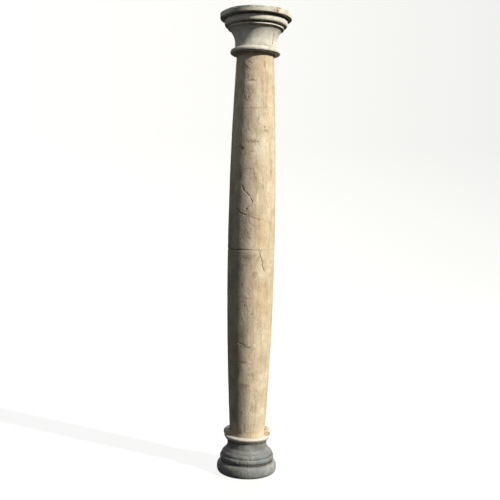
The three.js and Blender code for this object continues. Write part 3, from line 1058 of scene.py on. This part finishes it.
def marble_material(name, marble):
    graph = Graph(bpy.data.materials.new(name))
    shades = [(0.30, marble.dark), (0.50, marble.middle), (0.70, marble.light)]
    graph.colour = graph.ramp(graph.noise(CLOUDS), shades)
    off_vein = graph.maths("ABSOLUTE", graph.maths("SUBTRACT", graph.noise(VEINS), 0.5))
    graph.lay(marble.vein, graph.between(0.0, VEIN_WIDTH, off_vein, 0.30, 0.0))

    runs, patches, grain, threads = (graph.noise(pattern) for pattern in (RUNS, PATCHES, GRAIN, THREADS))
    for pattern, low, high, tint, most in (
        (runs, 0.48, 0.70, marble.streak, marble.film),
        (patches, 0.54, 0.72, marble.light, 0.5),
        (patches, 0.46, 0.30, marble.dark, 0.5),
        (grain, 0.54, 0.70, marble.streak, 0.55),
        (threads, 0.54, 0.68, marble.streak, 0.9 * marble.film),
        (threads, 0.44, 0.32, marble.light, 0.7 * marble.film),
    ):
        graph.lay(tint, graph.between(low, high, pattern, 0.0, most))
    specks = graph.between(0.64, 0.72, graph.noise(SPECKS))
    graph.lay(marble.grime, graph.times(specks, 0.45))
    # Among these, the film layer is painted shade and the whitish layer partly painted light
    for mark, tint, most in CLEAN_LAYERS:
        graph.lay(tint, graph.times(graph.mark(mark), most))

    fretted = graph.between(0.35, 0.62, graph.noise(FRETTING), 0.25, 1.0)
    # Brown stains, moss, and a mark of dirt that also paints shade in the hollows
    dirt_and_shade_layers = (("brown", BROWN_COLOUR, 0.8), ("moss", MOSS_COLOUR, 0.75), ("grime", marble.grime, 0.85))
    for mark, tint, most in dirt_and_shade_layers:
        graph.lay(tint, graph.times(graph.times(graph.mark(mark), fretted), most))
    # Painted shade with black crusting, under ledges and in deep recesses
    graph.lay(CRUST_AND_SHADE_COLOUR, graph.times(graph.mark("crust_and_shade"), 0.9))

    cells = graph.node("ShaderNodeTexVoronoi", Vector=graph.place, Scale=1 / PINHOLE_GAP, Randomness=1.0)
    holes = graph.between(0.10, 0.22, cells.outputs["Distance"], 1.0, 0.0)
    pinholes = graph.times(holes, graph.between(0.60, 0.72, graph.noise(PINHOLE_PATCHES)))
    graph.lay(HOLE_COLOUR, graph.times(pinholes, 0.7))
    graph.lay(HOLE_COLOUR, graph.times(graph.mark("hole"), 0.75))

    shaken = graph.times(graph.maths("SUBTRACT", graph.noise(CRACK_WANDER), 0.5), 1.6)
    beside = graph.maths("ABSOLUTE", graph.maths("ADD", graph.mark("crack_side"), shaken))
    crack = graph.times(graph.between(0.55, 1.15, beside, 1.0, 0.0), graph.mark("crack_near"))
    graph.lay(CRACK_COLOUR, graph.times(crack, 0.88))

    height = graph.total((patches, 0.5), (grain, 0.5), (threads, 0.35), (pinholes, -0.5), (crack, -0.8),
                         (specks, -0.35))
    bump = graph.node("ShaderNodeBump", Strength=0.9, Distance=BUMP_DEPTH, Height=height)
    finish = graph.between(0.3, 0.7, patches, 0.62, 0.86)
    shader = graph.node("ShaderNodeBsdfPrincipled", Base_Color=graph.colour, Roughness=finish,
                        Normal=bump.outputs["Normal"])
    shader.inputs["Specular IOR Level"].default_value = 0.35
    return graph.surfaced(shader)


def placed(name, data):
    """A new object of the scene."""
    made = bpy.data.objects.new(name, data)
    bpy.context.scene.collection.objects.link(made)
    return made


def finish_stone(skin, name, node, material, seed):
    """Lays the marks that the photograph shows on a stone, and sets the stone in the place of its solid."""
    carve_spalls(skin)
    carve_pits(skin)
    soil_and_shade(skin, seed)
    # Among the spots, the dark ones paint shade with black crusting, and some whitish ones paint light thrown
    # back into the shade
    for mark, stains in (("moss", MOSS), ("brown", BROWN), ("warm", WARM), ("pale_and_light", PALE_AND_LIGHT_SPOTS), ("bluish", BLUISH),
                         ("crust_and_shade", CRUST_AND_SHADE_SPOTS)):
        stain(skin, mark, stains, seed)
    data = skin.mesh(name)
    data.materials.append(material)
    stone = placed(name, data)
    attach(stone, "root")
    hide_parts(node)


def build_column():
    base = Skin(outlines["base"], foot["base"], even_turns(BASE_COLUMNS), MOULDING_ROW)
    weather(base, BASE_WEAR)
    wear_edges(base, BASE_WEAR)
    base.bite(FOOT_CHIP, FOOT_RADIUS, foot["base"] + FOOT_UNDER_CURVE + FOOT_SIDE / 2)
    carve_cracks(base, CRACKS)
    collar_foot = foot["base"] + tall["base"] - COLLAR_TOP_CURVE - COLLAR_SIDE - COLLAR_SLOPE_HEIGHT
    uneven_height = base.height + COLLAR_UNEVEN * rough(base.rest, *COLLAR_LUMPS)
    base.mark("rubbed", smooth(collar_foot, collar_foot + COLLAR_SLOPE_HEIGHT, uneven_height))

    lower = Skin(outlines["lower_drum"], foot["lower_drum"], drum_turns(), DRUM_ROW)
    break_ring(lower)
    weather(lower, SHAFT_WEAR)
    wear_edges(lower, SHAFT_WEAR)
    lower.bite(FOOT_RING_WORN_EDGE, FOOT_RING_RADIUS, foot["lower_drum"] + FOOT_RING_HEIGHT)
    lower.bite(JOINT_CHIP, SHAFT_BELLY_RADIUS, foot["lower_drum"] + tall["lower_drum"])
    open_joint(lower, foot["upper_drum"])
    fine_marks = CRACKS + ruffled()
    carve_cracks(lower, fine_marks + hairlines(lower, HAIRLINES_PER_DRUM, HAIRLINE_SEED))

    upper = Skin(outlines["upper_drum"], foot["upper_drum"], drum_turns(), DRUM_ROW)
    weather(upper, SHAFT_WEAR)
    upper.bite(JOINT_REAR_CHIP, SHAFT_BELLY_RADIUS, foot["upper_drum"])
    open_joint(upper, foot["upper_drum"])
    carve_cracks(upper, fine_marks + hairlines(upper, HAIRLINES_PER_DRUM, HAIRLINE_SEED + 1))

    turns = even_turns(CAPITAL_COLUMNS)
    capital = Skin(outlines["capital"], foot["capital"], turns, MOULDING_ROW, TOP_BED_ROW)
    weather(capital, CAPITAL_WEAR)
    wear_edges(capital, CAPITAL_WEAR)
    for loss in ABACUS_LOSSES:
        capital.bite(loss, ABACUS_RADIUS, foot["capital"] + tall["capital"] - ABACUS_TOP_CURVE / 2)
    carve_cracks(capital, CRACKS)

    shaft_marble = marble_material("shaft_marble", SHAFT_MARBLE)
    base_marble = marble_material("base_marble", BASE_MARBLE)
    capital_marble = marble_material("capital_marble", CAPITAL_MARBLE)
    for skin, node, slot, material, wear in (
        (base, "base", "base_marble", base_marble, BASE_WEAR),
        (lower, "lower_drum", "shaft_marble", shaft_marble, SHAFT_WEAR),
        (upper, "upper_drum", "shaft_marble", shaft_marble, SHAFT_WEAR),
        (capital, "capital", "capital_marble", capital_marble, CAPITAL_WEAR),
    ):
        finish_stone(skin, "weathered_" + node, node, material, wear.dirt_seed)


# Studio: a round pale floor that sweeps up into a pale wall. It throws no shadow and no light on the stone.
FLOOR_RADIUS = 7
SWEEP_RADIUS = 3
WALL_HEIGHT = 12
SWEEP_STEPS = 24
BACKDROP_SIDES = 96
BACKDROP_COLOUR = paint(100, 100, 99)
BACKDROP_GLOW = paint(252, 252, 250)
BACKDROP_GLOW_STRENGTH = 0.86

# Lights, by the turn round the column and the height over the horizon from which they shine, in degrees
Sun = namedtuple("Sun", "name turn height softness strength colour")
SUNS = each(
    Sun,
    ("sun", 59, 30.5, 2, 5.3, (1.0, 0.955, 0.88)),
    ("rear", 176, 30, 25, 1.3, (0.93, 0.96, 1.0)),
)
SKY_ABOVE = (0.36, 0.38, 0.43, 1.0)
SKY_BELOW = (0.035, 0.034, 0.032, 1.0)
SKY_LOW = -0.5


def add_sun(sun):
    light = bpy.data.lights.new(sun.name, "SUN")
    light.energy = sun.strength
    light.angle = math.radians(sun.softness)
    light.color = sun.colour
    lamp = placed(sun.name, light)
    lamp.rotation_euler = (math.radians(90 - sun.height), 0, math.radians(sun.turn))


def build_backdrop():
    profile = [(0.01, 0.0), (FLOOR_RADIUS, 0.0)]
    for step in range(1, SWEEP_STEPS + 1):
        turn = math.pi / 2 * step / SWEEP_STEPS
        profile.append((FLOOR_RADIUS + SWEEP_RADIUS * math.sin(turn), SWEEP_RADIUS * (1 - math.cos(turn))))
    profile.append((FLOOR_RADIUS + SWEEP_RADIUS, WALL_HEIGHT))
    vertices = []
    faces = []
    for ring, (radius, height) in enumerate(profile):
        for side in range(BACKDROP_SIDES):
            turn = 2 * math.pi * side / BACKDROP_SIDES
            vertices.append((radius * math.cos(turn), radius * math.sin(turn), height))
            if ring:
                here = ring * BACKDROP_SIDES + side
                following = ring * BACKDROP_SIDES + (side + 1) % BACKDROP_SIDES
                faces.append((here, here - BACKDROP_SIDES, following - BACKDROP_SIDES, following))
    faces.append(tuple(range(BACKDROP_SIDES)))
    data = bpy.data.meshes.new("backdrop")
    data.from_pydata(vertices, [], faces)
    data.polygons.foreach_set("use_smooth", np.ones(len(faces), bool))
    graph = Graph(bpy.data.materials.new("backdrop_paint"))
    shader = graph.node("ShaderNodeBsdfPrincipled", Base_Color=BACKDROP_COLOUR, Roughness=0.9,
                        Emission_Color=BACKDROP_GLOW, Emission_Strength=BACKDROP_GLOW_STRENGTH)
    data.materials.append(graph.surfaced(shader))
    backdrop = placed("backdrop", data)
    backdrop.visible_diffuse = False
    backdrop.visible_glossy = False
    backdrop.visible_shadow = False
    backdrop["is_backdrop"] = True


def build_sky():
    """A sky that is light above and dark below, so that undersides stay dark."""
    graph = Graph(bpy.data.worlds.new("sky"), "Generated")
    upward = graph.node("ShaderNodeSeparateXYZ", Vector=graph.place).outputs["Z"]
    rise = graph.node("ShaderNodeMapRange", Value=upward, From_Min=SKY_LOW).outputs["Result"]
    light = graph.node("ShaderNodeBackground", Color=graph.ramp(rise, [(0, SKY_BELOW), (1, SKY_ABOVE)]))
    bpy.context.scene.world = graph.surfaced(light, "ShaderNodeOutputWorld")


def build_studio():
    build_backdrop()
    build_sky()
    for sun in SUNS:
        add_sun(sun)
    bpy.context.scene.view_settings.view_transform = "Standard"


def build_camera():
    camera = bpy.data.cameras.new("camera")
    camera.sensor_width = SENSOR_WIDTH
    camera.lens = SENSOR_WIDTH * FOCAL_LENGTH / PICTURE_SIZE
    holder = placed("camera", camera)
    holder.matrix_world = Matrix.Translation(EYE) @ camera_turn().to_4x4()
    bpy.context.scene.camera = holder


build_column()
build_studio()
build_camera()

boxes = {"solids": solid_bounds, "scene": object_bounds()}
